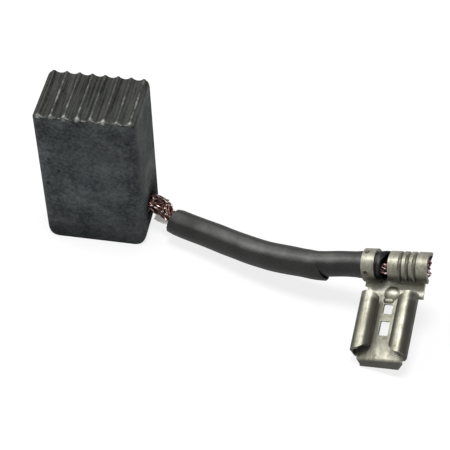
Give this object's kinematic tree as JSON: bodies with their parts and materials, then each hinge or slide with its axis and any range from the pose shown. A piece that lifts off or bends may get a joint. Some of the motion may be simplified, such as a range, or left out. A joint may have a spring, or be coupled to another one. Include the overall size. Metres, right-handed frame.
{
  "type": "carbon brush",
  "caption": "Rectangular graphite motor brush with a grooved contact face, a sleeved copper lead and a stamped flag receptacle.",
  "frame": {"origin": "middle of the block's plain end, which it stands on", "axes": "+Z towards the grooved contact face, +X towards the side that the lead leaves, +Y through the block's depth towards the back"},
  "size_m": [0.0533, 0.0264, 0.0225],
  "materials": {
    "graphite": "pressed and ground carbon graphite, matt",
    "tamping_powder": "tamped conductive powder, matt",
    "copper": "bare stranded copper, dull",
    "liner_fibre": "pale woven fibre",
    "inner_sleeving": "black flexible sleeving, satin",
    "outer_sleeving": "black flexible sleeving, satin",
    "plated_sheet": "tin-plated spring brass sheet, worn"
  },
  "bodies": {
    "root": {"brush_block": "graphite", "tamping_plug": "tamping_powder", "copper_lead": "copper", "fibre_liner": "liner_fibre", "inner_sleeve": "inner_sleeving", "outer_sleeve": "outer_sleeving", "flag_terminal": "plated_sheet"}
  },
  "joints": []
}
